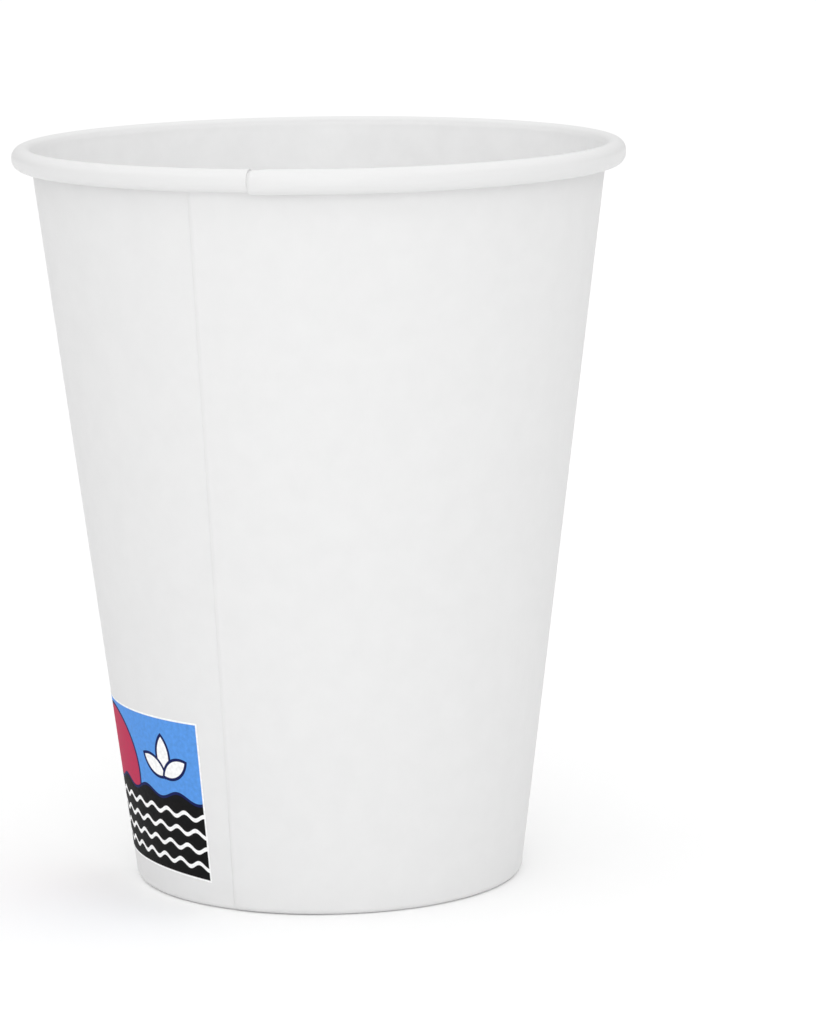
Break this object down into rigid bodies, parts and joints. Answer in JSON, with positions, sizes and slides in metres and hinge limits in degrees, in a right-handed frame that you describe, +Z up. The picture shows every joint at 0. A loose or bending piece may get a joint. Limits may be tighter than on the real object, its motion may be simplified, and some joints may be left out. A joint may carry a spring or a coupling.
{
  "type": "paper cup",
  "caption": "Single-wall paper cup with a rolled rim, a lapped side seam, a folded foot and a recessed bottom, for a hot drink.",
  "frame": {"origin": "centre of the foot, on the table", "axes": "+Z up along the cup's axis, -Y towards the front that the picture shows, with the side seam 19 degrees left of it"},
  "size_m": [0.0696, 0.0696, 0.0846],
  "materials": {
    "wall_board": "matte",
    "bottom_board": "matte"
  },
  "bodies": {
    "root": {"sidewall": "wall_board", "bottom": "bottom_board"}
  },
  "joints": []
}
